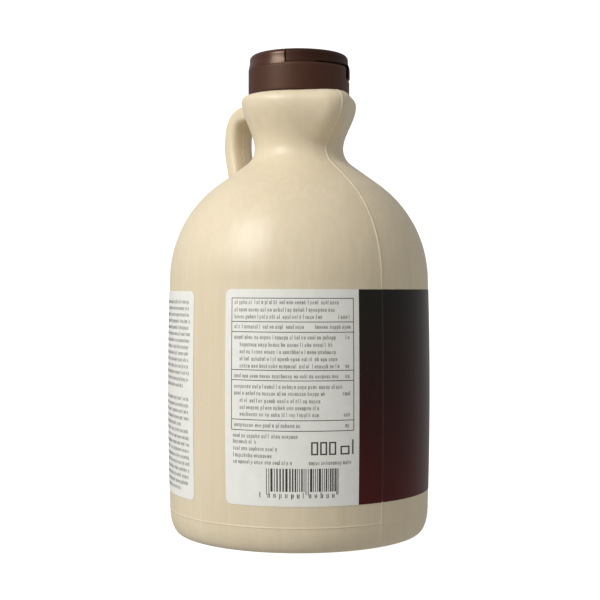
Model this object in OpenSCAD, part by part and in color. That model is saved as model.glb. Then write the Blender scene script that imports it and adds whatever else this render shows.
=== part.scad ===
// Small plastic syrup jug with a ring handle at the neck, a flip-top cap and a
// wrap-round label. One frame: origin at the middle of the foot, +Z up,
// handle towards -X, front parting line towards +X.

/* [Body] */
// Radius of the barrel at its fullest
body_r = 50.68; // [42:0.1:60]
// Height of that fullest point
full_z = 55; // [45:1:65]
// How much the barrel narrows from there to the start of the shoulder
barrel_fall = 0.6; // [0.2:0.05:1.2]
// Height where the shoulder starts to turn in
shoulder_z = 96.8; // [84:0.1:112]
// Radius of the shoulder's dome
shoulder_r = 45.5; // [38:0.1:52]
// Degrees the dome turns before it runs straight to the neck
shoulder_turn = 54.2; // [48:0.1:60]
// Radius of the hollow between shoulder and neck
neck_fillet = 8; // [5:0.1:11]
// Radius of the neck at its narrowest
neck_r = 17.3; // [15:0.05:20]

/* [Foot] */
// How far the foot's corner steps in
foot_in = 3.9; // [2:0.1:6]
// Height of that corner
foot_h = 9; // [6:0.1:12]
// Height of the fine bead that runs round just above the corner
bead_h = 0.15; // [0.1:0.05:0.3]
// Radius of the push-up under the foot
pushup_r = 36; // [28:0.5:39]
// Depth of the push-up at its middle
pushup_h = 2.4; // [1:0.1:4]

/* [Collar] */
// Height of the collar above the narrowest neck
collar_h = 20.4; // [16:0.1:24]
// Radius of the collar at its widest, at the sides
collar_r = 22.3; // [20.5:0.1:25]
// Reach of the collar's front tip from the axis
tip_x = 27.4; // [25:0.1:31]
// Radius of that tip seen from above
tip_r = 9; // [6:0.5:11]
// Reach of the collar at the back, where the handle leaves it
back_x = 26; // [25.2:0.1:30]
// Radius of that back seen from above
back_r = 6.5; // [5.5:0.5:8]
// Rounding of the collar's rim at the front
rim_front = 4.6; // [3:0.1:5.4]
// Rounding of the collar's rim at the back
rim_back = 1.6; // [1.2:0.1:2.6]

/* [Handle] */
// Distance from the axis to the middle of the upright strap
strap_x = 42.8; // [40:0.1:47]
// Depth of the strap from its inner to its outer face
strap_t = 8; // [6:0.1:9.6]
// Width of the strap
strap_w = 11; // [9:0.1:13.2]
// Part of that depth left where the strap leaves the collar
root_deep = 0.75; // [0.6:0.05:0.9]
// Distance from the axis to where the strap meets the shoulder
foot_x = 37.6; // [34:0.1:41]

/* [Cap] */
// Radius of the cap's skirt
cap_r = 19.67; // [18:0.01:21]
// Height of the cap above the collar
cap_h = 15.8; // [13:0.1:19]
// Height of the lid, from its seam to the top
lid_h = 5.2; // [4.3:0.1:6.3]
// How much smaller the lid's radius is than the skirt's
lid_in = 0.5; // [0.3:0.05:0.8]
// Rounding of the lid's rim
lid_round = 2; // [1:0.1:2.4]
// Direction of the lid's thumb tab, in degrees round from the front
tab_turn = 53.7; // [0:0.1:90]
// Width of the thumb tab
tab_w = 9.2; // [7:0.1:11.5]
// How far the thumb tab hangs below the lid's seam
tab_drop = 4; // [3.2:0.1:5]

/* [Label] */
// Height of the label's lower edge
label_z = 17.2; // [13:0.1:20]
// Height of the label
label_h = 76.2; // [64:0.1:78]
// Thickness of the label
label_t = 0.2; // [0.15:0.05:0.3]
// Degrees left bare between the label's two ends
label_gap = 18.2; // [8:0.1:40]
// Where the label starts, in degrees round from the front
label_turn = -68; // [-90:1:-40]
// Bare wall between the label's upper edge and the parting line
ridge_room = 2.6; // [1:0.1:4]

/* [Parting line] */
// How far the parting line stands proud
ridge_h = 0.25; // [0.2:0.05:0.4]
// Width of the parting line
ridge_w = 0.6; // [0.4:0.1:1]

/* [Hidden] */
$fn = 96;
sides = 72; // facets round the collar
flare_n = 10; // levels up the collar's flare
rim_n = 5; // levels round its rim
loop_n = 20; // facets round the strap

// top of the barrel, where the dome starts
top_r = barrel(shoulder_z);
// end of the dome
dome_r = top_r - shoulder_r * (1 - cos(shoulder_turn));
dome_z = shoulder_z + shoulder_r * sin(shoulder_turn);
// where the straight slope would meet the neck, and the length the hollow takes
meet_z = dome_z + (dome_r - neck_r) / tan(shoulder_turn);
hollow = neck_fillet * tan(shoulder_turn / 2);
neck_z = meet_z + hollow;
collar_z = neck_z + collar_h;
cap_z = collar_z + cap_h;

// radius of the barrel at height z, a shallow arch
function barrel(z) = body_r - barrel_fall * pow((z - full_z) / (shoulder_z - full_z), 2);

// radius of the wall at height z, up the barrel and on round the dome
function side(z) = z <= shoulder_z ? barrel(z) :
    top_r - shoulder_r + sqrt(max(0, shoulder_r * shoulder_r - pow(z - shoulder_z, 2)));

// the foot's corner, a quarter of an ellipse
function corner() = [for (i = [0:5]) let (a = 90 - i * 18)
    [barrel(foot_h) - foot_in * (1 - cos(a)), foot_h * (1 - sin(a))]];

// the fine bead above it
function bead() = [for (i = [0:2]) let (z = foot_h + 0.6 + i * 0.5)
    [barrel(z) + (i == 1 ? bead_h : 0), z]];

// the wall where the label lies
label_top = label_z + label_h;
function label_run(out) = [for (i = [0:10]) let (z = label_z + i * label_h / 10)
    [side(z) + out, z]];

// a run of points that starts above height z
function above(points, z) = [for (p = points) if (p[1] > z) p];

// the dome, then the hollow up to the neck
function dome() = [for (i = [0:9]) let (a = i * shoulder_turn / 9)
    [top_r - shoulder_r * (1 - cos(a)), shoulder_z + shoulder_r * sin(a)]];
function neck() = [for (i = [0:6]) let (a = shoulder_turn * (1 - i / 6))
    [neck_r + neck_fillet * (1 - cos(a)), neck_z - neck_fillet * sin(a)]];

// the push-up, a shallow bowl turned over
function pushup() = [for (i = [0:5]) let (t = i / 5)
    [pushup_r * t, pushup_h * (1 - t * t)]];

function ease(t) = t * t * (3 - 2 * t);

// outline of the collar seen from above: a round of radius rc drawn out to a
// tip of radius rt that reaches rx
function egg(a, rc, rx, rt) =
    rx <= rc + 0.001 ? rc :
    let (b = acos((rc - rt) / (rx - rt)),
         q = atan2(rt * sin(b), rx - rt + rt * cos(b)))
    a < q ? (rx - rt) * cos(a) + sqrt(rt * rt - pow((rx - rt) * sin(a), 2)) :
    a < b ? rc / cos(a - b) : rc;

// rim rounding in direction a, and the height where it starts
function rim(a) = (rim_front + rim_back) / 2 + (rim_front - rim_back) / 2 * cos(a);
function rim_z(a) = collar_z - rim(a);

// radius of the collar in direction a (0 to 180), at the part t of its flare
function flare(a, t) =
    let (rc = neck_r - 0.03 + (collar_r - neck_r) * ease(t),
         rf = neck_r - 0.03 + (tip_x - neck_r) * ease(pow(t, 0.72)),
         rb = neck_r - 0.03 + (back_x - neck_r) * ease(max(0, t * 1.5 - 0.5)))
    a <= 90 ? egg(a, rc, rf, tip_r) : egg(180 - a, rc, max(rb, rc), back_r);

function fold(a) = a <= 180 ? a : 360 - a;

function flare_ring(t) = [for (i = [0:sides - 1])
    let (a = i * 360 / sides, f = fold(a), r = flare(f, t))
    [r * cos(a), r * sin(a), neck_z + (rim_z(f) - neck_z) * t]];

function rim_ring(b) = [for (i = [0:sides - 1])
    let (a = i * 360 / sides, f = fold(a), r = flare(f, 1) - rim(f) * (1 - cos(b)))
    [r * cos(a), r * sin(a), rim_z(f) + rim(f) * sin(b)]];

function root_ring() = [for (i = [0:sides - 1]) let (a = i * 360 / sides)
    [(neck_r - 0.03) * cos(a), (neck_r - 0.03) * sin(a), neck_z - 1]];

// triangles between m rings of n points, with a flat face at each end
function skin(m, n) = concat(
    [[for (i = [0:n - 1]) i]],
    [for (j = [0:m - 2], i = [0:n - 1]) [j * n + i, (j + 1) * n + i, j * n + (i + 1) % n]],
    [for (j = [0:m - 2], i = [0:n - 1])
        [j * n + (i + 1) % n, (j + 1) * n + i, (j + 1) * n + (i + 1) % n]],
    [[for (i = [n - 1:-1:0]) (m - 1) * n + i]]);

// a point of a smooth curve through four steering points
function curve(p, t) = pow(1 - t, 3) * p[0] + 3 * pow(1 - t, 2) * t * p[1]
    + 3 * (1 - t) * t * t * p[2] + pow(t, 3) * p[3];

// middle of the strap: out of the collar, round the bend, down to the shoulder
strap_z = collar_z - 0.4 - strap_t * root_deep / 2;
knee_z = neck_z + 4.4;
land_z = dome_z - 6.2;
bend = [[strap_x - 10, strap_z], [strap_x - 2.8, strap_z], [strap_x, strap_z - 3.8],
    [strap_x, knee_z]];
leg = [[strap_x, knee_z], [strap_x, knee_z - 5], [foot_x + 2, land_z + 14.1],
    [foot_x, land_z]];
way = concat(
    [for (i = [0:2]) [16 + i * (strap_x - 26) / 3, strap_z]],
    [for (i = [0:10]) curve(bend, i / 10)],
    [for (i = [1:8]) curve(leg, i / 8)],
    [[foot_x - 2, land_z - 8]]);
way_n = len(way);

// how thick and how wide the strap is at station k
function deep(k) = let (t = k / (way_n - 1))
    strap_t * (t < 0.5 ? root_deep + 2 * (1 - root_deep) * t
        : 1 - 0.4 * pow(t - 0.5, 1.2)) / 2;
function wide(k) = let (t = k / (way_n - 1))
    strap_w / 2 + 1.6 * pow(max(0, 1 - t / 0.3), 2) + 0.8 * pow(max(0, t * 4 - 3), 2);

function strap_ring(k) =
    let (p = way[k], q = way[min(k + 1, way_n - 1)], o = way[max(k - 1, 0)],
         d = (q - o) / norm(q - o))
    [for (i = [0:loop_n - 1])
        let (a = i * 360 / loop_n,
             u = deep(k) * sign(cos(a)) * pow(abs(cos(a)), 0.62),
             v = wide(k) * sign(sin(a)) * pow(abs(sin(a)), 0.62))
        [-(p[0] - d[1] * u), v, p[1] + d[0] * u]];

function flat(rings) = [for (r = rings, p = r) p];

module turned_body() {
    rotate_extrude()
        polygon(concat(
            pushup(),
            corner(),
            bead(),
            label_run(0),
            above(dome(), label_top + 0.1),
            neck(),
            [[0, neck_z]]));
}

module collar() {
    rings = concat(
        [root_ring()],
        [for (j = [0:flare_n]) flare_ring(j / flare_n)],
        [for (j = [1:rim_n]) rim_ring(j * 90 / rim_n)]);
    polyhedron(points = flat(rings), faces = skin(len(rings), sides), convexity = 4);
}

module strap() {
    polyhedron(
        points = flat([for (k = [0:way_n - 1]) strap_ring(k)]),
        faces = skin(way_n, loop_n),
        convexity = 6);
}

// outline of the parting line on the dome and neck
ridge_z = label_top + ridge_room;
function ridge_line(out) = concat(
    [[side(ridge_z) + out, ridge_z]],
    [for (p = above(dome(), ridge_z + 0.5)) [p[0] + out, p[1] + out * 0.5]],
    [for (p = neck()) [p[0] + out, p[1]]]);

// and on the collar's front
function ridge_tip(out) = concat(
    [for (j = [1:flare_n]) let (t = j / flare_n)
        [flare(0, t) + out, neck_z + (rim_z(0) - neck_z) * t]],
    [for (j = [1:3]) let (b = j * 24)
        [flare(0, 1) - rim_front * (1 - cos(b)) + out * cos(b),
         rim_z(0) + rim_front * sin(b) + out * sin(b)]]);

module ridge(line_out, line_in) {
    rotate([90, 0, 0])
        translate([0, 0, -ridge_w / 2])
            linear_extrude(ridge_w)
                polygon(concat(line_out, [for (i = [len(line_in) - 1:-1:0]) line_in[i]]));
}

module jug() {
    color([0.86, 0.80, 0.68])
        union() {
            turned_body();
            collar();
            strap();
            ridge(concat(ridge_line(ridge_h), ridge_tip(ridge_h)),
                concat(ridge_line(-1.2), ridge_tip(-1.2)));
            mirror([1, 0, 0])
                ridge(ridge_line(ridge_h), ridge_line(-1.2));
        }
}

seam_z = cap_z - lid_h;
lid_r = cap_r - lid_in;
// the lid's hinge lies on this chord, measured from the axis away from the tab
hinge_x = 5.1;

module cap_shell() {
    rotate_extrude()
        polygon(concat(
            [[0, collar_z], [cap_r, collar_z], [cap_r, seam_z - 0.9],
                [cap_r - lid_in * 0.3, seam_z + 0.4], [lid_r, seam_z + 1.8]],
            [for (i = [0:5]) let (a = i * 18)
                [lid_r - lid_round * (1 - cos(a)), cap_z - lid_round * (1 - sin(a))]],
            [[0, cap_z]]));
}

module cap() {
    color([0.22, 0.14, 0.11])
        rotate([0, 0, tab_turn])
            union() {
                difference() {
                    cap_shell();
                    // slit across the top along the hinge, open at both rims
                    translate([-hinge_x - 0.3, -25, cap_z - 1.4])
                        cube([0.6, 50, 3]);
                    for (s = [-1, 1])
                        translate([-hinge_x - 0.3, s * lid_r - (s < 0 ? 1 : 2.2), seam_z])
                            cube([0.6, 3.2, lid_h + 1]);
                    // seam under the lid's moving half
                    difference() {
                        translate([-hinge_x, -25, seam_z - 0.55])
                            cube([50, 50, 0.6]);
                        translate([0, 0, seam_z - 1])
                            cylinder(h = 2, r = lid_r - 0.8);
                    }
                    // scoop in the skirt behind the thumb tab
                    translate([cap_r - 0.9, -tab_w / 2 - 3.6, seam_z - tab_drop - 0.6])
                        cube([5, tab_w + 7.2, tab_drop + 0.3]);
                }
                // thumb tab, rooted in the lid
                intersection() {
                    translate([lid_r - 1.2, -tab_w / 2, seam_z - tab_drop])
                        cube([lid_in + 1.4, tab_w, tab_drop + 1.2]);
                    translate([0, 0, seam_z - tab_drop - 1])
                        cylinder(h = tab_drop + 3, r = cap_r + 0.2);
                }
            }
}

module label() {
    color([0.93, 0.92, 0.88])
        rotate([0, 0, label_turn])
            rotate_extrude(angle = 360 - label_gap)
                polygon(concat(
                    label_run(0),
                    [for (i = [10:-1:0]) label_run(label_t)[i]]));
}

jug();
cap();
label();
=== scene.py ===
import math
import random

import bmesh
import bpy
import numpy as np
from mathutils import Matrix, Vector


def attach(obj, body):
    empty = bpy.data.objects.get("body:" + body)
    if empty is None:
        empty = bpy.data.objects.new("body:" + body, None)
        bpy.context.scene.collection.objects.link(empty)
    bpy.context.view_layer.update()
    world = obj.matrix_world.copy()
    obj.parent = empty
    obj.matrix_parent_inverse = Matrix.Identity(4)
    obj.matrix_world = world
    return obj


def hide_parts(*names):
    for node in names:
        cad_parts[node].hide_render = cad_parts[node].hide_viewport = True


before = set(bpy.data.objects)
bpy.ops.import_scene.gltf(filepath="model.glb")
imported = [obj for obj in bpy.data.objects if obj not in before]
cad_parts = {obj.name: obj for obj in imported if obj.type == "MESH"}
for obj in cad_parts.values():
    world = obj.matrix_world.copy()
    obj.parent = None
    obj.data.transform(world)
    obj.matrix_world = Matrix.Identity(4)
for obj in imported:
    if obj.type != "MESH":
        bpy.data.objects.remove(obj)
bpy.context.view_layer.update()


# ---------------------------------------------------------------------------
# The jug: blown from one tube of beige polyethylene in a two-part mould, so
# foot, barrel, domed shoulder, neck and egg-shaped collar are a single wall.
# The mould's halves leave a fine raised line at front and back.
MM = 0.001
BARREL_R, BARREL_FALL, FULL_Z, SHOULDER_Z = 50.68, 0.6, 55.0, 96.8
SHOULDER_R, SHOULDER_TURN = 45.5, math.radians(54.2)
NECK_R, NECK_HOLLOW = 17.3, 8.0
FOOT_IN, FOOT_H = 3.9, 9.0
BEAD_Z, BEAD_H, BEAD_HALF = 9.45, 0.13, 0.22
PUSHUP_R, PUSHUP_H = 36.0, 2.4
COLLAR_H, COLLAR_R = 20.4, 22.3
TIP_X, TIP_R, BACK_X, BACK_R = 27.4, 9.0, 26.0, 6.5
RIM_FRONT, RIM_BACK, TIP_SWELL = 4.6, 1.6, 0.72
RIDGE_H, RIDGE_HALF = 0.24, 0.3


def barrel_radius(z):
    return BARREL_R - BARREL_FALL * ((z - FULL_Z) / (SHOULDER_Z - FULL_Z)) ** 2


TOP_R = barrel_radius(SHOULDER_Z)
DOME_R = TOP_R - SHOULDER_R * (1 - math.cos(SHOULDER_TURN))
DOME_Z = SHOULDER_Z + SHOULDER_R * math.sin(SHOULDER_TURN)
NECK_Z = (DOME_Z + (DOME_R - NECK_R) / math.tan(SHOULDER_TURN)
          + NECK_HOLLOW * math.tan(SHOULDER_TURN / 2))
COLLAR_Z = NECK_Z + COLLAR_H


def ease(t):
    return t * t * (3 - 2 * t)


def body_outline():
    """Radius and height from the middle of the foot up to the neck, in mm."""
    rows = [(PUSHUP_R * t, PUSHUP_H * (1 - t * t)) for t in np.linspace(0.08, 1, 12)]
    for a in np.radians(np.linspace(90, 0, 16)):
        rows.append((barrel_radius(FOOT_H) - FOOT_IN * (1 - math.cos(a)), FOOT_H * (1 - math.sin(a))))
    for z in np.concatenate([np.linspace(9.1, 9.8, 9), [10.1, 10.5],
                             np.linspace(11, 17, 6), np.linspace(18.5, 96, 48)]):
        rows.append((barrel_radius(z) + BEAD_H * math.exp(-((z - BEAD_Z) / BEAD_HALF) ** 2), z))
    for a in np.linspace(0, SHOULDER_TURN, 34):
        rows.append((TOP_R - SHOULDER_R * (1 - math.cos(a)), SHOULDER_Z + SHOULDER_R * math.sin(a)))
    for t in np.linspace(0.12, 1, 7)[:-1]:
        a = SHOULDER_TURN
        r1, z1 = NECK_R + NECK_HOLLOW * (1 - math.cos(a)), NECK_Z - NECK_HOLLOW * math.sin(a)
        rows.append((DOME_R + (r1 - DOME_R) * t, DOME_Z + (z1 - DOME_Z) * t))
    for a in np.linspace(SHOULDER_TURN, 0, 18):
        rows.append((NECK_R + NECK_HOLLOW * (1 - math.cos(a)), NECK_Z - NECK_HOLLOW * math.sin(a)))
    return rows


def egg(a, rc, rx, rt):
    """Radius in direction a (from the tip) of a round drawn out to a tip."""
    if rx <= rc + 0.001:
        return rc
    b = math.acos((rc - rt) / (rx - rt))
    q = math.atan2(rt * math.sin(b), rx - rt + rt * math.cos(b))
    if a < q:
        off = (rx - rt) * math.sin(a)
        return (rx - rt) * math.cos(a) + math.sqrt(max(0.0, rt * rt - off ** 2))
    return rc / math.cos(a - b) if a < b else rc


def rim(a):
    return (RIM_FRONT + RIM_BACK) / 2 + (RIM_FRONT - RIM_BACK) / 2 * math.cos(a)


def flare(a, t):
    """Collar radius in direction a at the part t of its height below the rim."""
    a = abs((a + math.pi) % (2 * math.pi) - math.pi)
    rc = NECK_R + (COLLAR_R - NECK_R) * ease(t)
    if a <= math.pi / 2:
        return egg(a, rc, NECK_R + (TIP_X - NECK_R) * ease(t ** TIP_SWELL), TIP_R)
    back = NECK_R + (BACK_X - NECK_R) * ease(max(0.0, t * 1.5 - 0.5))
    return egg(math.pi - a, rc, max(back, rc), BACK_R)


outline = body_outline()
outline_r = [p[0] for p in outline[40:]]
outline_z = [p[1] for p in outline[40:]]


def wall_radius(x, y, z):
    """Radius of the jug's wall in the direction of (x, y) at height z."""
    if z <= NECK_Z:
        return float(np.interp(z, outline_z, outline_r))
    a = math.atan2(y, x)
    top = COLLAR_Z - rim(a)
    if z <= top:
        return flare(a, (z - NECK_Z) / (top - NECK_Z))
    lift = min(1.0, (z - top) / rim(a))
    return flare(a, 1) - rim(a) * (1 - math.sqrt(1 - lift * lift))


SEAM_Y = np.array([-1.1, -0.75, -0.55, -0.42, -0.3, -0.2, -0.1, 0,
                   0.1, 0.2, 0.3, 0.42, 0.55, 0.75, 1.1])
SIDES = 80


def column_angles(front, back):
    """Directions of one row's points, crowded at the two parting lines."""
    f = np.arcsin(SEAM_Y / max(front, 14.0))
    b = math.pi + np.arcsin(SEAM_Y / max(back, 14.0))
    one = np.linspace(f[-1], b[0], SIDES + 2)[1:-1]
    two = np.linspace(b[-1], 2 * math.pi + f[0], SIDES + 2)[1:-1]
    return np.concatenate([f, one, b, two])


def jug_rows():
    """Every ring of the wall, foot to rim, with how proud its parting line is."""
    rings, proud = [], []
    for r, z in outline:
        a = column_angles(r, r)
        rings.append(np.stack([r * np.cos(a), r * np.sin(a), np.full(len(a), z)], 1))
        full = np.interp(z, [0, 2, 16, 18, 93, 96], [0, 0.8, 0.8, 0.45, 0.45, 1])
        proud.append(RIDGE_H * (full if r > 44 or z > 30 else 0.0))
    for t in np.linspace(0, 1, 34)[1:]:
        a = column_angles(flare(0, t), flare(math.pi, t))
        r = np.array([flare(x, t) for x in a])
        z = np.array([NECK_Z + (COLLAR_Z - rim(x) - NECK_Z) * t for x in a])
        rings.append(np.stack([r * np.cos(a), r * np.sin(a), z], 1))
        proud.append(RIDGE_H)
    for b in np.radians(np.linspace(0, 90, 15))[1:]:
        a = column_angles(flare(0, 1), flare(math.pi, 1))
        r = np.array([flare(x, 1) - rim(x) * (1 - math.cos(b)) for x in a])
        z = np.array([COLLAR_Z - rim(x) * (1 - math.sin(b)) for x in a])
        rings.append(np.stack([r * np.cos(a), r * np.sin(a), z], 1))
        proud.append(RIDGE_H * max(0.0, math.cos(b)) ** 0.6)
    last = rings[-1]
    for k in (0.85, 0.6, 0.3):
        rings.append(last * [k, k, 1.0])
        proud.append(0.0)
    return np.array(rings), np.array(proud)


def grid_normals(p):
    across = np.roll(p, -1, 1) - np.roll(p, 1, 1)
    up = np.empty_like(p)
    up[1:-1] = p[2:] - p[:-2]
    up[0], up[-1] = p[1] - p[0], p[-1] - p[-2]
    n = np.cross(across, up)
    return n / np.maximum(np.linalg.norm(n, axis=2, keepdims=True), 1e-9)


def closed_skin(rings, first=None, last=None):
    """Vertices and faces of rings joined in a tube, its ends closed by a point."""
    m, n = rings.shape[:2]
    verts = [tuple(v) for v in rings.reshape(-1, 3)]
    faces = []
    for j in range(m - 1):
        for i in range(n):
            k = (i + 1) % n
            faces.append((j * n + i, j * n + k, (j + 1) * n + k, (j + 1) * n + i))
    verts.append(tuple(rings[0].mean(0) if first is None else first))
    verts.append(tuple(rings[-1].mean(0) if last is None else last))
    for i in range(n):
        k = (i + 1) % n
        faces.append((k, i, m * n))
        faces.append(((m - 1) * n + i, (m - 1) * n + k, m * n + 1))
    return verts, faces


def mesh_piece(name, parts):
    """One object from several closed skins given in mm, faces turned outwards."""
    verts, faces = [], []
    for v, f in parts:
        start = len(verts)
        verts += [(x * MM, y * MM, z * MM) for x, y, z in v]
        faces += [tuple(i + start for i in face) for face in f]
    mesh = bpy.data.meshes.new(name)
    mesh.from_pydata(verts, [], faces)
    bm = bmesh.new()
    bm.from_mesh(mesh)
    bmesh.ops.recalc_face_normals(bm, faces=bm.faces)
    bm.to_mesh(mesh)
    bm.free()
    mesh.polygons.foreach_set("use_smooth", [True] * len(mesh.polygons))
    piece = bpy.data.objects.new(name, mesh)
    bpy.context.scene.collection.objects.link(piece)
    return piece


wall, proud = jug_rows()
normals = grid_normals(wall)
near_line = np.where(np.abs(wall[:, :, 1]) < 1.3, np.exp(-(wall[:, :, 1] / RIDGE_HALF) ** 2), 0.0)
wall = wall + normals * (near_line * proud[:, None])[:, :, None]
wall_skin = closed_skin(wall, first=(0, 0, PUSHUP_H), last=(0, 0, COLLAR_Z))


# ---------------------------------------------------------------------------
# The ring handle: pinched from the same tube as the wall. It leaves the collar's
# back almost level with the rim, bends down and runs into the shoulder, with a
# soft hollow where it meets each. The parting line runs along its middle.
STRAP_X, STRAP_T, STRAP_W, STRAP_FOOT_X = 42.8, 8.0, 11.0, 37.6
STRAP_ROOT, STRAP_SQUARE, STRAP_RIDGE = 0.75, 0.62, 0.35
STRAP_Z, KNEE_Z, LAND_Z = COLLAR_Z - 3.4, NECK_Z + 4.4, DOME_Z - 6.2


def steered(p, t):
    t = np.asarray(t)[:, None]
    p = [np.array(q, float) for q in p]
    return ((1 - t) ** 3 * p[0] + 3 * (1 - t) ** 2 * t * p[1]
            + 3 * (1 - t) * t ** 2 * p[2] + t ** 3 * p[3])


bend = [(STRAP_X - 10, STRAP_Z), (STRAP_X - 2.8, STRAP_Z),
        (STRAP_X, STRAP_Z - 3.8), (STRAP_X, KNEE_Z)]
leg = [(STRAP_X, KNEE_Z), (STRAP_X, KNEE_Z - 5),
       (STRAP_FOOT_X + 2, LAND_Z + 14.1), (STRAP_FOOT_X, LAND_Z)]
way = np.concatenate([
    np.stack([np.linspace(14, STRAP_X - 10, 40), np.full(40, STRAP_Z)], 1)[:-1],
    steered(bend, np.linspace(0, 1, 80))[:-1],
    steered(leg, np.linspace(0, 1, 90)),
    np.stack([np.linspace(STRAP_FOOT_X, STRAP_FOOT_X - 2.6, 24),
              np.linspace(LAND_Z, LAND_Z - 10.4, 24)], 1)[1:],
])
way_run = np.concatenate([[0], np.cumsum(np.linalg.norm(np.diff(way, axis=0), axis=1))])
way_dir = np.gradient(way, way_run, axis=0)
way_dir /= np.linalg.norm(way_dir, axis=1)[:, None]
share = way_run / way_run[-1]
half_deep = STRAP_T / 2 * np.where(share < 0.5, STRAP_ROOT + 2 * (1 - STRAP_ROOT) * share,
                                   1 - 0.4 * np.maximum(share - 0.5, 0) ** 1.2)
half_wide = (STRAP_W / 2 + 1.6 * np.maximum(0, 1 - share / 0.3) ** 2
             + 0.8 * np.maximum(0, share * 4 - 3) ** 2)

near = np.array([0.1, 0.2, 0.3, 0.42, 0.6, 0.95, 1.6, 2.6, 3.5]) / (STRAP_W / 2)
near = np.arcsin(near ** (1 / STRAP_SQUARE))
quarter = np.concatenate([[0], near, np.linspace(near[-1], math.pi / 2, 9)[1:]])
half = np.concatenate([quarter, math.pi - quarter[::-1][1:]])
around = np.concatenate([half, 2 * math.pi - half[::-1][1:-1]])


def guide_line(a):
    """One line of the strap's skin, followed along its whole way."""
    cu, sv = math.cos(a), math.sin(a)
    u = half_deep * np.sign(cu) * abs(cu) ** STRAP_SQUARE
    v = half_wide * np.sign(sv) * abs(sv) ** STRAP_SQUARE
    u = u + np.sign(cu) * RIDGE_H * STRAP_RIDGE * np.exp(-(v / RIDGE_HALF) ** 2) * (abs(sv) < 0.5)
    return np.stack([-(way[:, 0] - way_dir[:, 1] * u), v, way[:, 1] + way_dir[:, 0] * u], 1)


def wall_normal(p):
    e = 0.05
    f = lambda q: math.hypot(q[0], q[1]) - wall_radius(*q)
    g = np.array([f(p + d) - f(p - d) for d in np.eye(3) * e])
    return g / np.linalg.norm(g)


def root(line, at, reach, outwards, side):
    """The soft hollow from a point on the wall up to the strap's skin."""
    corner = np.array([np.interp(at, way_run, line[:, k]) for k in range(3)])
    strap = np.array([np.interp(at + side * reach, way_run, line[:, k]) for k in range(3)])
    n = wall_normal(corner)
    t = outwards - np.dot(outwards, n) * n
    foot = corner + t / np.linalg.norm(t) * reach
    k = (wall_radius(*foot) - 0.03) / math.hypot(foot[0], foot[1])
    foot = np.array([foot[0] * k, foot[1] * k, foot[2]])
    s = np.linspace(0, 1, 10)[:, None]
    return (1 - s) ** 2 * foot + 2 * (1 - s) * s * corner + s ** 2 * strap


strap_lines = []
for a in around:
    line = guide_line(a)
    inside = np.array([math.hypot(p[0], p[1]) < wall_radius(*p) and p[2] < COLLAR_Z for p in line])
    middle = len(line) // 2
    first = np.where(inside[:middle])[0][-1]
    last = middle + np.where(inside[middle:])[0][0]
    at0 = (way_run[first] + way_run[first + 1]) / 2
    at1 = (way_run[last - 1] + way_run[last]) / 2
    up0 = np.array([way_dir[first][1] * math.cos(a), math.sin(a), way_dir[first][0] * math.cos(a)])
    up1 = np.array([way_dir[last][1] * math.cos(a), math.sin(a), way_dir[last][0] * math.cos(a)])
    reach0 = 0.5 + 2.3 * (1 - max(0.0, math.cos(a)) ** 2)
    reach1 = 3.0
    run = np.linspace(at0 + reach0, at1 - reach1, 72)
    body = np.stack([np.interp(run, way_run, line[:, k]) for k in range(3)], 1)
    deep0 = np.array([[np.interp(at0 - 4, way_run, line[:, k]) for k in range(3)]])
    deep1 = np.array([[np.interp(at1 + 4, way_run, line[:, k]) for k in range(3)]])
    strap_lines.append(np.concatenate([
        deep0, root(line, at0, reach0, up0, 1), body[1:-1],
        root(line, at1, reach1, up1, -1)[::-1], deep1]))
strap_skin = closed_skin(np.array(strap_lines).transpose(1, 0, 2))

jug = mesh_piece("jug_moulding", [wall_skin, strap_skin])


def shader(name, base, roughness, specular=0.5):
    """A new material with one Principled shader, given with its nodes and links."""
    material = bpy.data.materials.new(name)
    material.use_nodes = True
    nodes, links = material.node_tree.nodes, material.node_tree.links
    nodes.clear()
    out = nodes.new("ShaderNodeOutputMaterial")
    surface = nodes.new("ShaderNodeBsdfPrincipled")
    links.new(surface.outputs["BSDF"], out.inputs["Surface"])
    surface.inputs["Base Color"].default_value = (*base, 1)
    surface.inputs["Roughness"].default_value = roughness
    surface.inputs["Specular IOR Level"].default_value = specular
    return material, nodes, links, surface


def stretched_noise(nodes, links, squash, scale, detail=3.0, rough=0.55):
    """Noise on the piece's own coordinates, stretched by the squash factors."""
    coords = nodes.new("ShaderNodeTexCoord")
    mapping = nodes.new("ShaderNodeMapping")
    mapping.inputs["Scale"].default_value = squash
    noise = nodes.new("ShaderNodeTexNoise")
    noise.inputs["Scale"].default_value = scale
    noise.inputs["Detail"].default_value = detail
    noise.inputs["Roughness"].default_value = rough
    links.new(coords.outputs["Object"], mapping.inputs["Vector"])
    links.new(mapping.outputs["Vector"], noise.inputs["Vector"])
    return noise


def span(nodes, links, source, low, high, to_low, to_high):
    """A source value mapped from one range onto another."""
    node = nodes.new("ShaderNodeMapRange")
    node.inputs["From Min"].default_value = low
    node.inputs["From Max"].default_value = high
    node.inputs["To Min"].default_value = to_low
    node.inputs["To Max"].default_value = to_high
    links.new(source, node.inputs["Value"])
    return node.outputs["Result"]


def bump(nodes, links, height, strength, distance, under=None):
    node = nodes.new("ShaderNodeBump")
    node.inputs["Strength"].default_value = strength
    node.inputs["Distance"].default_value = distance
    links.new(height, node.inputs["Height"])
    if under is not None:
        links.new(under, node.inputs["Normal"])
    return node.outputs["Normal"]


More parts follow.
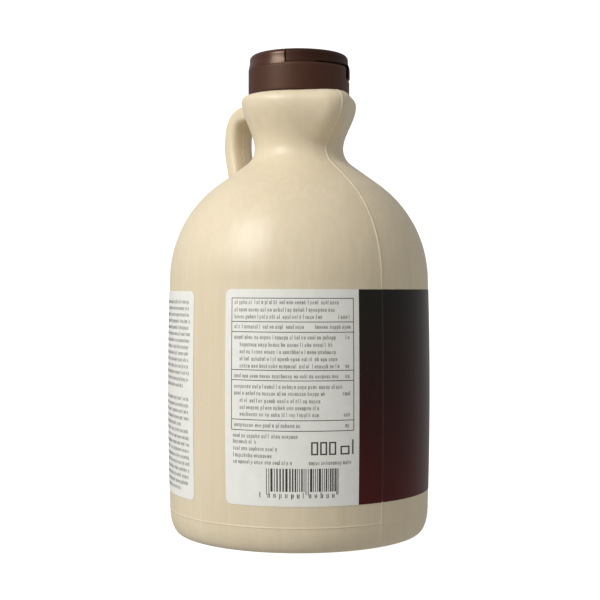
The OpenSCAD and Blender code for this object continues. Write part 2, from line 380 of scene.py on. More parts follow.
# satin polyethylene: drawn-out vertical streaks, a faint orange peel, and a
# slow change of tone
plastic, nodes, links, surface = shader("beige_polyethylene", (0.72, 0.615, 0.43), 0.42)
surface.inputs["Subsurface Weight"].default_value = 0.18
surface.inputs["Subsurface Radius"].default_value = (1.0, 0.7, 0.4)
surface.inputs["Subsurface Scale"].default_value = 0.003
tone = stretched_noise(nodes, links, (1, 1, 0.35), 38.0, 4.0)
streak = stretched_noise(nodes, links, (1, 1, 0.04), 420.0, 3.0)
mix = nodes.new("ShaderNodeMix")
mix.data_type = "RGBA"
mix.inputs["A"].default_value = (0.705, 0.598, 0.415, 1)
mix.inputs["B"].default_value = (0.735, 0.628, 0.445, 1)
links.new(span(nodes, links, tone.outputs["Fac"], 0.3, 0.7, 0, 1), mix.inputs["Factor"])
fine = nodes.new("ShaderNodeMix")
fine.data_type = "RGBA"
fine.blend_type = "MULTIPLY"
fine.inputs["Factor"].default_value = 1.0
links.new(mix.outputs["Result"], fine.inputs["A"])
grain = nodes.new("ShaderNodeCombineColor")
shade = span(nodes, links, streak.outputs["Fac"], 0.3, 0.7, 0.965, 1.02)
for c in ("Red", "Green", "Blue"):
    links.new(shade, grain.inputs[c])
links.new(grain.outputs["Color"], fine.inputs["B"])
links.new(fine.outputs["Result"], surface.inputs["Base Color"])
peel = stretched_noise(nodes, links, (1, 1, 1), 900.0, 2.0)
wave = stretched_noise(nodes, links, (1, 1, 0.5), 75.0, 2.0)
links.new(span(nodes, links, tone.outputs["Fac"], 0.3, 0.7, 0.38, 0.48), surface.inputs["Roughness"])
n1 = bump(nodes, links, wave.outputs["Fac"], 0.35, 0.0012)
n2 = bump(nodes, links, streak.outputs["Fac"], 0.18, 0.00025, n1)
n3 = bump(nodes, links, peel.outputs["Fac"], 0.12, 0.0002, n2)
links.new(n3, surface.inputs["Normal"])
jug.data.materials.append(plastic)
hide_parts("jug")
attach(jug, "root")


# ---------------------------------------------------------------------------
# The closure's skirt: dark brown polypropylene, moulded in one shot with its
# deck. A shallow scoop in its side leaves room for a thumb under the lid's tab.
CAP_R, CAP_TOP = 19.67, COLLAR_Z + 15.8
LID_R, LID_H, LID_ROUND = 19.17, 5.2, 2.0
SEAM_Z = CAP_TOP - LID_H
TAB_TURN, TAB_HALF, TAB_DROP = math.radians(53.7), math.asin(4.6 / CAP_R), 4.0
HINGE_X = 5.1
CAP_SIDES = 288


def lathe(profile, shape=None):
    """Rings of an outline turned round the axis; shape may move each point."""
    rings = []
    for j, (r, z) in enumerate(profile):
        ring = []
        for i in range(CAP_SIDES):
            a = 2 * math.pi * i / CAP_SIDES
            rr, zz = (r, z) if shape is None else shape(j, a, r, z)
            ring.append((rr * math.cos(a + TAB_TURN), rr * math.sin(a + TAB_TURN), zz))
        rings.append(ring)
    return np.array(rings, float)


def off_tab(a):
    return abs((a + math.pi) % (2 * math.pi) - math.pi)


def scoop(j, a, r, z):
    d = off_tab(a)
    wide = 1 - ease(min(1.0, max(0.0, (d - TAB_HALF - 0.02) / 0.17)))
    tall = ease(min(1.0, max(0.0, (z - (SEAM_Z - TAB_DROP - 1.4)) / 1.3)))
    if r > 17.5:
        r = r - 1.15 * wide * tall
    return r, z


skirt_profile = [(2.0, COLLAR_Z + 0.02), (17.6, COLLAR_Z + 0.02), (18.2, COLLAR_Z + 0.05),
                 (19.35, COLLAR_Z + 0.05), (19.6, COLLAR_Z + 0.12), (CAP_R, COLLAR_Z + 0.35)]
skirt_profile += [(CAP_R, z) for z in np.linspace(COLLAR_Z + 0.9, SEAM_Z - 1.1, 26)]
skirt_profile += [(CAP_R - 0.03, SEAM_Z - 0.8), (CAP_R - 0.1, SEAM_Z - 0.5),
                  (CAP_R - 0.22, SEAM_Z - 0.22), (CAP_R - 0.36, SEAM_Z - 0.06),
                  (CAP_R - 0.55, SEAM_Z), (CAP_R - 1.4, SEAM_Z + 0.02),
                  (10.0, SEAM_Z + 0.02), (2.0, SEAM_Z + 0.02)]
skirt = mesh_piece("closure_skirt", [closed_skin(lathe(skirt_profile, scoop))])

# semi-gloss plastic with a fine matt tooth and a slow mottle
brown, nodes, links, surface = shader("brown_polypropylene", (0.045, 0.014, 0.008), 0.5, 0.5)
surface.inputs["Specular Tint"].default_value = (1.0, 0.74, 0.56, 1)
mottle = stretched_noise(nodes, links, (1, 1, 1), 120.0, 3.0)
mix = nodes.new("ShaderNodeMix")
mix.data_type = "RGBA"
mix.inputs["A"].default_value = (0.041, 0.0118, 0.0062, 1)
mix.inputs["B"].default_value = (0.051, 0.0152, 0.0085, 1)
links.new(span(nodes, links, mottle.outputs["Fac"], 0.3, 0.7, 0, 1), mix.inputs["Factor"])
links.new(mix.outputs["Result"], surface.inputs["Base Color"])
links.new(span(nodes, links, mottle.outputs["Fac"], 0.3, 0.7, 0.47, 0.56),
          surface.inputs["Roughness"])
matte = stretched_noise(nodes, links, (1, 1, 1), 2600.0, 2.0)
n1 = bump(nodes, links, mottle.outputs["Fac"], 0.12, 0.0004)
n2 = bump(nodes, links, matte.outputs["Fac"], 0.16, 0.00006, n1)
links.new(n2, surface.inputs["Normal"])
skirt.data.materials.append(brown)
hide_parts("cap")
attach(skirt, "root")


# ---------------------------------------------------------------------------
# The closure's lid: a shallow cover split across by a slit at its hinge. The
# smaller part is one with the skirt; the larger part is the moving flap, which
# stands a little clear of the skirt from its side round to the thumb tab.
GAP_FROM, GAP_MOST, GAP_LEAST, GAP_SHUT = math.radians(72), 0.62, 0.22, -0.4
SLIT_HALF, SLIT_REACH, SLIT_TURN = 0.27, 1.6, 0.9


def lid_side():
    rows = [(LID_R, SEAM_Z + 1.8)]
    for a in np.radians(np.linspace(0, 90, 14)):
        rows.append((LID_R - LID_ROUND * (1 - math.cos(a)),
                     CAP_TOP - 0.02 - LID_ROUND * (1 - math.sin(a))))
    return rows + [(15.0, CAP_TOP - 0.01), (9.0, CAP_TOP - 0.005), (3.0, CAP_TOP - 0.005)]


fixed_profile = [(2.0, SEAM_Z - 1.0), (18.0, SEAM_Z - 1.0), (CAP_R - 0.06, SEAM_Z - 0.95),
                 (CAP_R - 0.02, SEAM_Z - 0.75), (CAP_R - 0.06, SEAM_Z - 0.2),
                 (CAP_R - 0.17, SEAM_Z + 0.5), (CAP_R - 0.36, SEAM_Z + 1.2)] + lid_side()
flap_profile = [(2.0, SEAM_Z + 0.4), (LID_R - 1.6, SEAM_Z + 0.4), (LID_R - 0.7, SEAM_Z + 0.36),
                (CAP_R - 0.5, SEAM_Z + 0.12), (CAP_R - 0.32, SEAM_Z + 0.05),
                (CAP_R - 0.2, SEAM_Z + 0.16), (CAP_R - 0.19, SEAM_Z + 0.5),
                (CAP_R - 0.34, SEAM_Z + 1.2)] + lid_side()


def open_edge(j, a, r, z):
    """Lifts the flap's lower edge clear of the skirt round the tab's side, and
    seats the rest of it."""
    if j <= 6:
        d = off_tab(a)
        lift = GAP_MOST * ease(min(1.0, max(0.0, (GAP_FROM - d) / 1.0)))
        lift += GAP_LEAST if d < GAP_FROM else GAP_SHUT
        z = z + lift * (1.0 if j < 5 else 0.8 if j == 5 else 0.45)
    return r, z


def hinge_cut(piece, keep_flap):
    """Cuts the lid along the hinge and closes the cut."""
    bm = bmesh.new()
    bm.from_mesh(piece.data)
    out = Vector((math.cos(TAB_TURN), math.sin(TAB_TURN), 0))
    at = out * ((-HINGE_X + (SLIT_HALF if keep_flap else -SLIT_HALF)) * MM)
    cut = bmesh.ops.bisect_plane(bm, geom=bm.verts[:] + bm.edges[:] + bm.faces[:],
                                 plane_co=at, plane_no=out, clear_inner=keep_flap,
                                 clear_outer=not keep_flap, dist=1e-7)
    rim_edges = [g for g in cut["geom_cut"] if isinstance(g, bmesh.types.BMEdge)]
    bmesh.ops.triangle_fill(bm, edges=rim_edges, use_beauty=True, normal=out)
    bmesh.ops.recalc_face_normals(bm, faces=bm.faces)
    # the slit turns back towards the fixed part as it climbs the lid's rim
    for v in bm.verts:
        near = max(0.0, 1 - abs(v.co.dot(out) / MM + HINGE_X) / SLIT_REACH)
        inward = LID_R - math.hypot(v.co.x, v.co.y) / MM
        v.co -= out * (SLIT_TURN * MM * near * ease(min(1.0, max(0.0, inward / 2.4))))
    bm.to_mesh(piece.data)
    bm.free()


lid_fixed = mesh_piece("closure_lid_fixed", [closed_skin(lathe(fixed_profile))])
hinge_cut(lid_fixed, False)
lid_flap = mesh_piece("closure_lid_flap", [closed_skin(lathe(flap_profile, open_edge))])
hinge_cut(lid_flap, True)

# the hinge web, a thin wall that closes the slit below the top
web_rows = []
for z, half in ((SEAM_Z - 0.5, 18.1), (SEAM_Z + 1.0, 18.1), (SEAM_Z + 2.6, 17.6),
                (CAP_TOP - 1.5, 16.9), (CAP_TOP - 1.3, 16.6)):
    ring = []
    for side in (1, -1):
        for s in np.linspace(-1, 1, 17):
            x, y = -HINGE_X - 0.45 + side * 1.1, side * s * half
            ring.append((x * math.cos(TAB_TURN) - y * math.sin(TAB_TURN),
                         x * math.sin(TAB_TURN) + y * math.cos(TAB_TURN), z))
    web_rows.append(ring)
web = mesh_piece("closure_hinge_web", [closed_skin(np.array(web_rows))])

# the thumb tab, a tongue that hangs from the flap over the scoop
tab_rows = []
tab_foot = SEAM_Z - TAB_DROP
for j, (z, inset) in enumerate([
        (tab_foot + 0.05, 0.45), (tab_foot, 0.25), (tab_foot + 0.08, 0.06), (tab_foot + 0.35, 0.0),
        (SEAM_Z - 2.0, 0.0), (SEAM_Z - 0.4, 0.02), (SEAM_Z + 0.6, 0.2), (SEAM_Z + 1.4, 0.5),
        (SEAM_Z + 1.7, 0.8)]):
    ring = []
    for side, r in ((1, CAP_R + 0.18 - inset), (-1, 18.85 if z < SEAM_Z else 18.3)):
        for s in np.linspace(-1, 1, 21):
            corner_in = 0.012 if abs(s) == 1 else 0.0
            foot_in = 0.01 if j < 2 else 0.0
            a = TAB_TURN + side * s * (TAB_HALF - corner_in - foot_in)
            ring.append((r * math.cos(a), r * math.sin(a), z))
    tab_rows.append(ring)
tab = mesh_piece("closure_thumb_tab", [closed_skin(np.array(tab_rows))])

# the flap and its tab: the same plastic, less glossy, with painted shade that makes its colour darker
# than the skirt's
flap_brown_painted_shade = brown.copy()
flap_brown_painted_shade.name = "brown_polypropylene_flap_painted_shade"
for node in flap_brown_painted_shade.node_tree.nodes:
    if node.type == "MIX":
        # painted shade: darker base colours for the flap and its tab
        node.inputs["A"].default_value = (0.0215, 0.0052, 0.0026, 1)
        node.inputs["B"].default_value = (0.0280, 0.0070, 0.0036, 1)
    elif node.type == "BSDF_PRINCIPLED":
        node.inputs["Specular IOR Level"].default_value = 0.3

# the fixed part of the lid: the same plastic, glossier
lid_brown = brown.copy()
lid_brown.name = "brown_polypropylene_lid"
for node in lid_brown.node_tree.nodes:
    if node.type == "MAP_RANGE" and node.inputs["To Max"].default_value < 0.6:
        node.inputs["To Min"].default_value, node.inputs["To Max"].default_value = 0.25, 0.31

for piece, plastic_used in ((lid_fixed, lid_brown), (lid_flap, flap_brown_painted_shade),
                            (web, brown), (tab, flap_brown_painted_shade)):
    piece.data.materials.append(plastic_used)
    crisp = piece.modifiers.new("rounded_edges", "BEVEL")
    crisp.width = 0.16 * MM
    crisp.segments = 2
    crisp.limit_method = "ANGLE"
    crisp.angle_limit = math.radians(50)
    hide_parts("cap")
    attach(piece, "root")


# ---------------------------------------------------------------------------
# The label: one strip of coated paper, about 12 by 3 inches with rounded
# corners, wrapped round the barrel a shade out of true, with a bare gap between
# its ends. White panels at both ends, and one dark field between them.
LABEL_Z, LABEL_H, LABEL_T = 17.2, 76.2, 0.09
LINE_BUMP, LINE_HALF = 0.04, 0.45
LABEL_START, LABEL_GAP, LABEL_CORNER = math.radians(-67.4), math.radians(18.2), 2.3
WRAP_R = BARREL_R + 0.2
LABEL_RUN = (2 * math.pi - LABEL_GAP) * WRAP_R
LABEL_SKEW = 0.85
DARK_FROM, DARK_TO = 49.7, 229.0


def wrapped(u, z, lift):
    """A point of the flat strip, u along and z up, laid round the barrel."""
    a = LABEL_START + u / WRAP_R
    z = z - LABEL_SKEW * u / LABEL_RUN
    y = WRAP_R * math.sin(a)
    r = barrel_radius(z) + lift + (LINE_BUMP * math.exp(-(y / LINE_HALF) ** 2) if abs(y) < 2 else 0.0)
    return (r * math.cos(a), r * math.sin(a), z)


corner_u = LABEL_CORNER * (1 - np.cos(np.radians(np.linspace(0, 90, 9))))
dark_edges = [DARK_FROM, DARK_TO]
line_u = [(-LABEL_START) * WRAP_R, (math.pi - LABEL_START) * WRAP_R]
crowd = [c + d for c in line_u
         for d in (-1.0, -0.7, -0.5, -0.35, -0.2, 0, 0.2, 0.35, 0.5, 0.7, 1.0)]
fill = [u for u in np.arange(3.2, LABEL_RUN - 3, 0.9)
        if min(abs(u - c) for c in line_u) > 1.3 and min(abs(u - c) for c in dark_edges) > 0.3]
strip_u = sorted(list(corner_u) + list(LABEL_RUN - corner_u) + dark_edges + crowd + fill)


def strip_ends(u):
    e = max(0.0, LABEL_CORNER - min(u, LABEL_RUN - u))
    cut = LABEL_CORNER - math.sqrt(max(0.0, LABEL_CORNER ** 2 - e * e))
    return LABEL_Z + cut, LABEL_Z + LABEL_H - cut


levels = 40
outer, inner = [], []
for u in strip_u:
    z0, z1 = strip_ends(u)
    outer.append([wrapped(u, z0 + (z1 - z0) * k / levels, LABEL_T) for k in range(levels + 1)])
    inner.append([wrapped(u, z0 + (z1 - z0) * k / levels, 0.02) for k in range(levels + 1)])
count, tall = len(strip_u), levels + 1
verts = [p for col in outer for p in col] + [p for col in inner for p in col]
back = count * tall
faces, dark = [], []
for i in range(count - 1):
    in_dark = DARK_FROM - 1e-6 <= strip_u[i] and strip_u[i + 1] <= DARK_TO + 1e-6
    for k in range(tall - 1):
        a, b = i * tall + k, (i + 1) * tall + k
        faces.append((a, b, b + 1, a + 1))
        faces.append((back + a, back + a + 1, back + b + 1, back + b))
        dark += [in_dark, False]
    for k, flip in ((0, True), (tall - 1, False)):
        a, b = i * tall + k, (i + 1) * tall + k
        faces.append((a, back + a, back + b, b) if flip else (a, b, back + b, back + a))
        dark.append(False)
for i in (0, count - 1):
    for k in range(tall - 1):
        a = i * tall + k
        faces.append((a, a + 1, back + a + 1, back + a) if i == 0
                     else (a, back + a, back + a + 1, a + 1))
        dark.append(False)
label = mesh_piece("label_strip", [(verts, faces)])
label.data.polygons.foreach_set("material_index", [1 if d else 0 for d in dark])
label.data.polygons.foreach_set("use_smooth", [True] * len(faces))
label.data.set_sharp_from_angle(angle=math.radians(50))

paper, nodes, links, surface = shader("white_coated_paper", (0.80, 0.79, 0.73), 0.36)
fibre = stretched_noise(nodes, links, (1, 1, 1), 260.0, 5.0)
mix = nodes.new("ShaderNodeMix")
mix.data_type = "RGBA"
mix.inputs["A"].default_value = (0.80, 0.79, 0.725, 1)
mix.inputs["B"].default_value = (0.845, 0.835, 0.775, 1)
links.new(span(nodes, links, fibre.outputs["Fac"], 0.3, 0.7, 0, 1), mix.inputs["Factor"])
links.new(mix.outputs["Result"], surface.inputs["Base Color"])
links.new(span(nodes, links, fibre.outputs["Fac"], 0.3, 0.7, 0.33, 0.42), surface.inputs["Roughness"])
links.new(bump(nodes, links, fibre.outputs["Fac"], 0.1, 0.0002), surface.inputs["Normal"])
label.data.materials.append(paper)

# the dark field: brown-black ink at the top that turns to deep red at the foot,
# with a painted highlight, a faint light line, where it lies over the parting line
field, nodes, links, surface = shader("dark_printed_field", (0.02, 0.008, 0.006), 0.36, 0.16)
coords = nodes.new("ShaderNodeTexCoord")
axes = nodes.new("ShaderNodeSeparateXYZ")
links.new(coords.outputs["Object"], axes.inputs["Vector"])
drift = stretched_noise(nodes, links, (1, 1, 0.6), 22.0, 3.0)
height = nodes.new("ShaderNodeMath")
height.operation = "ADD"
links.new(span(nodes, links, axes.outputs["Z"], 0.017, 0.094, 0, 1), height.inputs[0])
links.new(span(nodes, links, drift.outputs["Fac"], 0.3, 0.7, -0.12, 0.12), height.inputs[1])
ramp = nodes.new("ShaderNodeValToRGB")
ramp.color_ramp.elements[0].color = (0.074, 0.0062, 0.0050, 1)
ramp.color_ramp.elements[0].position = 0.0
ramp.color_ramp.elements[1].color = (0.0140, 0.0122, 0.0092, 1)
ramp.color_ramp.elements[1].position = 0.95
middle_tone = ramp.color_ramp.elements.new(0.45)
middle_tone.color = (0.0275, 0.0068, 0.0048, 1)
links.new(height.outputs["Value"], ramp.inputs["Fac"])
aside = nodes.new("ShaderNodeMath")
aside.operation = "ABSOLUTE"
links.new(axes.outputs["Y"], aside.inputs[0])
# painted highlight: a lighter colour mixed in along the parting line
painted_glint = nodes.new("ShaderNodeMix")
painted_glint.data_type = "RGBA"
painted_glint.inputs["B"].default_value = (0.085, 0.060, 0.052, 1)
links.new(span(nodes, links, aside.outputs["Value"], 0.00008, 0.00034, 0.45, 0),
          painted_glint.inputs["Factor"])
links.new(ramp.outputs["Color"], painted_glint.inputs["A"])
links.new(painted_glint.outputs["Result"], surface.inputs["Base Color"])
links.new(span(nodes, links, drift.outputs["Fac"], 0.3, 0.7, 0.3, 0.38), surface.inputs["Roughness"])
paper_tooth = stretched_noise(nodes, links, (1, 1, 1), 700.0, 3.0)
links.new(bump(nodes, links, paper_tooth.outputs["Fac"], 0.1, 0.00015), surface.inputs["Normal"])
label.data.materials.append(field)
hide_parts("label")
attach(label, "root")


# ---------------------------------------------------------------------------
# The print on the white panels: plain dark ink in small bars. A ruled table
# with rows of bars, a few short lines, open boxes for the contents, a barcode
# of plain stripes, and close lines of bars on the other panel.
draw = random.Random(7)
marks = []  # u, z, width, height, all in mm on the flat strip
INK_LIFT = 0.015


def mark(u, z, w, h):
    """One bar, cut in short pieces so that it lies close to the round."""
    n = max(1, math.ceil(w / 1.9))
    for k in range(n):
        marks.append((u + w * (k + 0.5) / n, z, w / n * 1.01, h))


def words(u0, u1, z, tall, pitch, heavy=1.0):
    """A line of bars grouped as words, between u0 and u1."""
    u = u0
    while u < u1 - pitch:
        n = draw.choice((2, 3, 4, 5, 5, 6, 7, 8, 9))
        for k in range(n):
            if u > u1 - pitch * 0.9:
                return
            kind = draw.random()
            w = pitch * draw.uniform(0.15, 0.23) * heavy
            if kind < 0.2:
                mark(u + pitch * 0.18, z + tall * 0.2, w, tall * 1.4)
            elif kind < 0.3:
                mark(u + pitch * 0.18, z - tall * 0.15, w, tall * 1.35)
            else:
                mark(u + pitch * 0.18, z, w, tall)
            if kind > 0.12:
                mark(u + pitch * 0.62, z, w, tall * draw.choice((1.0, 1.0, 0.9)))
            if kind > 0.4:
                level = z + tall * draw.choice((-0.42, 0.0, 0.42))
                mark(u + pitch * 0.28, level, pitch * 0.4, tall * 0.12)
            u += pitch * draw.choice((0.95, 1.0, 1.08))
        u += pitch * 0.55


TEXT, PITCH = 1.08, 0.82
table_rows = [
    (88.6, [(3.7, 42.0)]), (86.0, [(3.7, 41.0)]), (83.5, [(3.7, 36.7), (41.7, 46.5)]),
    (80.0, [(3.7, 30.8), (33.2, 46.5)]), (76.3, [(3.7, 41.6), (44.3, 46.5)]),
    (73.7, [(5.9, 40.1)]), (71.2, [(5.9, 42.0)]), (68.7, [(5.9, 42.1)]),
    (66.2, [(5.9, 42.3), (44.2, 46.5)]), (62.7, [(3.7, 41.9), (44.2, 46.5)]),
    (59.0, [(3.7, 43.1)]), (56.6, [(3.7, 37.4), (43.2, 46.5)]), (54.0, [(5.9, 35.2)]),
    (51.6, [(5.9, 35.0)]), (49.2, [(5.9, 35.3), (43.6, 46.5)]),
    (45.4, [(3.7, 28.3), (44.2, 46.5)]), (41.6, [(3.2, 27.8)]), (39.5, [(3.2, 12.7)]),
    (37.1, [(3.2, 20.1)]), (34.7, [(3.2, 18.0)]), (32.4, [(3.2, 25.8), (31.0, 47.0)]),
]
for z, runs in table_rows:
    for u0, u1 in runs:
        words(u0, u1, z, TEXT, PITCH)
for z in (90.2, 81.9, 78.3, 64.9, 61.3, 47.4, 43.7):
    mark(2.7, z, 44.8, 0.26)
for u in (2.7, 47.5):
    for k in range(24):
        mark(u - 0.13, 43.7 + 46.5 * (k + 0.5) / 24, 0.26, 46.5 / 24 * 1.01)

# the contents block: three tall open boxes, a low one and an upright
for u, w, h, z in ((31.9, 2.5, 4.6, 37.6), (35.1, 2.5, 4.6, 37.6),
                   (38.3, 2.6, 4.6, 37.6), (42.5, 3.4, 3.1, 36.85)):
    for side in (0, 1):
        mark(u + side * (w - 0.55), z, 0.55, h)
        mark(u, z + (side - 0.5) * (h - 0.5), w, 0.5)
mark(46.9, 37.9, 0.55, 5.2)

# the barcode: plain stripes of one to three units, with long ones at both
# ends and in the middle, over a row of small marks
BARCODE_FROM, BARCODE_TO, STRIPES = 15.9, 42.1, 31
u, unit = BARCODE_FROM, 0.262
for k in range(STRIPES):
    guard = k in (0, 1, 15, 16, 29, 30)
    w = unit * (1 if guard else draw.choice((1, 1, 2, 2, 3)))
    mark(u, 25.9 if guard else 26.5, w, 9.2 if guard else 8.1)
    after = STRIPES - 1 - k
    if after:
        spare = BARCODE_TO - u - w - after * 1.25 * unit
        u += w + spare / (after + 1) * draw.uniform(0.75, 1.25)
for k in range(13):
    nudge = 0.9 if k > 0 else 0
    words(13.2 + k * 2.1 + nudge, 14.8 + k * 2.1 + nudge, 20.9, 1.4, 1.25, 1.2)

# close lines on the far panel
for k in range(30):
    if k == 14:
        continue
    end = LABEL_RUN - 2.2 - (draw.uniform(4, 12) if k in (13, 19, 29) else draw.uniform(0, 0.9))
    words(DARK_TO + 4.0, end, 89.3 - 2.375 * k, 1.12, 0.84)


def marks_tree():
    """Geometry nodes: a flat bar on every point, sized by its own width and
    height, made real, laid round the barrel and given its ink."""
    tree = bpy.data.node_groups.new("printed_marks", "GeometryNodeTree")
    face = tree.interface
    face.new_socket("Geometry", in_out="INPUT", socket_type="NodeSocketGeometry")
    for label_name, value in (
            ("Barrel radius", BARREL_R * MM), ("Barrel fall", BARREL_FALL * MM),
            ("Fullest height", FULL_Z * MM), ("Shoulder rise", (SHOULDER_Z - FULL_Z) * MM),
            ("Wrap radius", WRAP_R * MM), ("Start angle", LABEL_START),
            ("Strip length", LABEL_RUN * MM), ("Skew", LABEL_SKEW * MM),
            ("Ink lift", (LABEL_T + INK_LIFT) * MM)):
        socket = face.new_socket(label_name, in_out="INPUT", socket_type="NodeSocketFloat")
        socket.default_value = value
    face.new_socket("Ink", in_out="INPUT", socket_type="NodeSocketMaterial")
    face.new_socket("Geometry", in_out="OUTPUT", socket_type="NodeSocketGeometry")
    n, link = tree.nodes, tree.links.new
    inputs, outputs = n.new("NodeGroupInput"), n.new("NodeGroupOutput")

    def sums(kind, a, b):
        node = n.new("ShaderNodeMath")
        node.operation = kind
        for k, value in enumerate((a, b)):
            if isinstance(value, (int, float)):
                node.inputs[k].default_value = value
            elif value is not None:
                link(value, node.inputs[k])
        return node.outputs[0]

    bar = n.new("GeometryNodeMeshGrid")
    bar.inputs["Size X"].default_value = 1
    bar.inputs["Size Y"].default_value = 1
    bar.inputs["Vertices X"].default_value = 2
    bar.inputs["Vertices Y"].default_value = 2
    upright = n.new("GeometryNodeTransform")
    upright.inputs["Rotation"].default_value = (math.pi / 2, 0, 0)
    link(bar.outputs["Mesh"], upright.inputs["Geometry"])
    points = n.new("GeometryNodeMeshToPoints")
    link(inputs.outputs["Geometry"], points.inputs["Mesh"])
    sizes = []
    for name in ("mark_width", "mark_height"):
        node = n.new("GeometryNodeInputNamedAttribute")
        node.data_type = "FLOAT"
        node.inputs["Name"].default_value = name
        sizes.append(node.outputs["Attribute"])
    scale = n.new("ShaderNodeCombineXYZ")
    link(sizes[0], scale.inputs["X"])
    scale.inputs["Y"].default_value = 1
    link(sizes[1], scale.inputs["Z"])
    bars = n.new("GeometryNodeInstanceOnPoints")
    link(points.outputs["Points"], bars.inputs["Points"])
    link(upright.outputs["Geometry"], bars.inputs["Instance"])
    link(scale.outputs["Vector"], bars.inputs["Scale"])
    real = n.new("GeometryNodeRealizeInstances")
    link(bars.outputs["Instances"], real.inputs["Geometry"])
    place, axes = n.new("GeometryNodeInputPosition"), n.new("ShaderNodeSeparateXYZ")
    link(place.outputs["Position"], axes.inputs["Vector"])
    along, up = axes.outputs["X"], axes.outputs["Z"]
    given = inputs.outputs
    turn = sums("ADD", sums("DIVIDE", along, given["Wrap radius"]), given["Start angle"])
    skew = sums("MULTIPLY", given["Skew"], sums("DIVIDE", along, given["Strip length"]))
    level = sums("SUBTRACT", up, skew)
    above = sums("SUBTRACT", level, given["Fullest height"])
    part = sums("DIVIDE", above, given["Shoulder rise"])
    fall = sums("MULTIPLY", given["Barrel fall"], sums("MULTIPLY", part, part))
    radius = sums("ADD", sums("SUBTRACT", given["Barrel radius"], fall), given["Ink lift"])
    spot = n.new("ShaderNodeCombineXYZ")
    link(sums("MULTIPLY", radius, sums("COSINE", turn, None)), spot.inputs["X"])
    link(sums("MULTIPLY", radius, sums("SINE", turn, None)), spot.inputs["Y"])
    link(level, spot.inputs["Z"])
    lay = n.new("GeometryNodeSetPosition")
    link(real.outputs["Geometry"], lay.inputs["Geometry"])
    link(spot.outputs["Vector"], lay.inputs["Position"])
    ink = n.new("GeometryNodeSetMaterial")
    link(lay.outputs["Geometry"], ink.inputs["Geometry"])
    link(inputs.outputs["Ink"], ink.inputs["Material"])
    link(ink.outputs["Geometry"], outputs.inputs["Geometry"])
    return tree


ink, nodes, links, surface = shader("dark_ink", (0.03, 0.03, 0.026), 0.45)
patch = stretched_noise(nodes, links, (1, 1, 1), 900.0, 2.0)
mix = nodes.new("ShaderNodeMix")
mix.data_type = "RGBA"
mix.inputs["A"].default_value = (0.022, 0.022, 0.019, 1)
mix.inputs["B"].default_value = (0.055, 0.054, 0.047, 1)
links.new(span(nodes, links, patch.outputs["Fac"], 0.3, 0.7, 0, 1), mix.inputs["Factor"])
links.new(mix.outputs["Result"], surface.inputs["Base Color"])

seeds = bpy.data.meshes.new("mark_points")
seeds.from_pydata([(m[0] * MM, 0, m[1] * MM) for m in marks], [], [])
for name, k in (("mark_width", 2), ("mark_height", 3)):
    sizes = seeds.attributes.new(name, "FLOAT", "POINT").data
    sizes.foreach_set("value", [m[k] * MM for m in marks])
holder = bpy.data.objects.new("mark_points", seeds)
bpy.context.scene.collection.objects.link(holder)
wrap = holder.modifiers.new("printed_marks", "NODES")
wrap.node_group = marks_tree()
for item in wrap.node_group.interface.items_tree:
    if item.in_out == "INPUT" and item.name == "Ink":
        wrap[item.identifier] = ink
bpy.context.view_layer.update()
laid_out = holder.evaluated_get(bpy.context.evaluated_depsgraph_get())
flat_print = bpy.data.meshes.new_from_object(laid_out)
bpy.data.objects.remove(holder)
flat_print.name = "label_print"
printed = bpy.data.objects.new("label_print", flat_print)
bpy.context.scene.collection.objects.link(printed)
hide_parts("label")
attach(printed, "root")


# ---------------------------------------------------------------------------
# The setting: a plain pale sweep, soft light from the left and above, and the
# camera level with the jug's middle, turned between its front and its side.
TURN, CAMERA_AWAY, CAMERA_UP = math.radians(53.7), 0.484, 0.0939
RIGHT = Vector((math.cos(TURN), math.sin(TURN), 0))
TO_CAMERA = Vector((math.sin(TURN), -math.cos(TURN), 0))
UP = Vector((0, 0, 1))

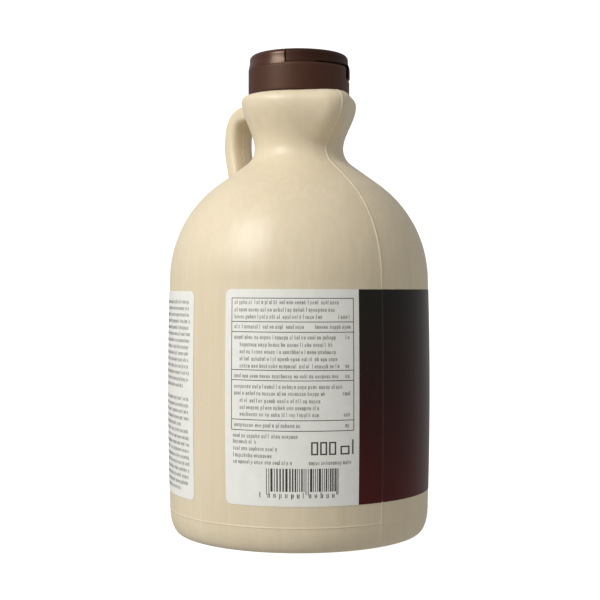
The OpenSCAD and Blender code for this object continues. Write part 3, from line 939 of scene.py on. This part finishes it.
SWEEP_FLAT, SWEEP_BEND, SWEEP_TOP, SWEEP_HALF = 0.55, 0.6, 1.2, 1.0
sweep_rows = [(-0.12, 0.0), (SWEEP_FLAT, 0.0)]
for a in np.linspace(0, math.pi / 2, 13)[1:]:
    sweep_rows.append((SWEEP_FLAT + SWEEP_BEND * math.sin(a), SWEEP_BEND * (1 - math.cos(a))))
sweep_rows.append((SWEEP_FLAT + SWEEP_BEND, SWEEP_TOP))
sweep_verts = []
for away, z in sweep_rows:
    for side in (-SWEEP_HALF, SWEEP_HALF):
        sweep_verts.append(tuple(-TO_CAMERA * away + RIGHT * side + UP * (z - 0.00002)))
sweep_faces = [(2 * k, 2 * k + 1, 2 * k + 3, 2 * k + 2) for k in range(len(sweep_rows) - 1)]
sweep_mesh = bpy.data.meshes.new("sweep")
sweep_mesh.from_pydata(sweep_verts, [], sweep_faces)
sweep_mesh.polygons.foreach_set("use_smooth", [True] * len(sweep_faces))
sweep = bpy.data.objects.new("sweep", sweep_mesh)
bpy.context.scene.collection.objects.link(sweep)
pale, nodes, links, surface = shader("pale_sweep", (0.5, 0.5, 0.5), 0.9, 0.0)
surface.inputs["Emission Color"].default_value = (1, 1, 1, 1)
surface.inputs["Emission Strength"].default_value = 0.9
sweep.data.materials.append(pale)
sweep.visible_diffuse = False
sweep.visible_glossy = False

world = bpy.data.worlds.new("soft_room")
world.use_nodes = True
world.node_tree.nodes["Background"].inputs["Color"].default_value = (1, 1, 1, 1)
world.node_tree.nodes["Background"].inputs["Strength"].default_value = 0.42
bpy.context.scene.world = world


def soft_box(name, place, width, height, power):
    """A rectangular soft light at a place given from the jug: right, towards
    the camera and up, in metres, aimed near the jug's middle."""
    data = bpy.data.lights.new(name, "AREA")
    data.shape = "RECTANGLE"
    data.size, data.size_y = width, height
    data.energy = power
    lamp = bpy.data.objects.new(name, data)
    at = RIGHT * place[0] + TO_CAMERA * place[1] + UP * place[2]
    lamp.location = at
    lamp.rotation_euler = (Vector((0, 0, 0.1)) - at).to_track_quat("-Z", "Y").to_euler()
    bpy.context.scene.collection.objects.link(lamp)


soft_box("key_box", (-0.70, 0.56, 0.72), 0.5, 0.6, 10.2)

camera_data = bpy.data.cameras.new("camera")
camera_data.lens = 74.4
camera_data.sensor_width = 36
camera_data.clip_start = 0.01
camera = bpy.data.objects.new("camera", camera_data)
camera.location = TO_CAMERA * CAMERA_AWAY + UP * CAMERA_UP
camera.rotation_euler = (-TO_CAMERA).to_track_quat("-Z", "Y").to_euler()
camera_data.shift_x, camera_data.shift_y = 0.0018, -0.0209
bpy.context.scene.collection.objects.link(camera)
bpy.context.scene.camera = camera
bpy.context.scene.view_settings.view_transform = "Standard"
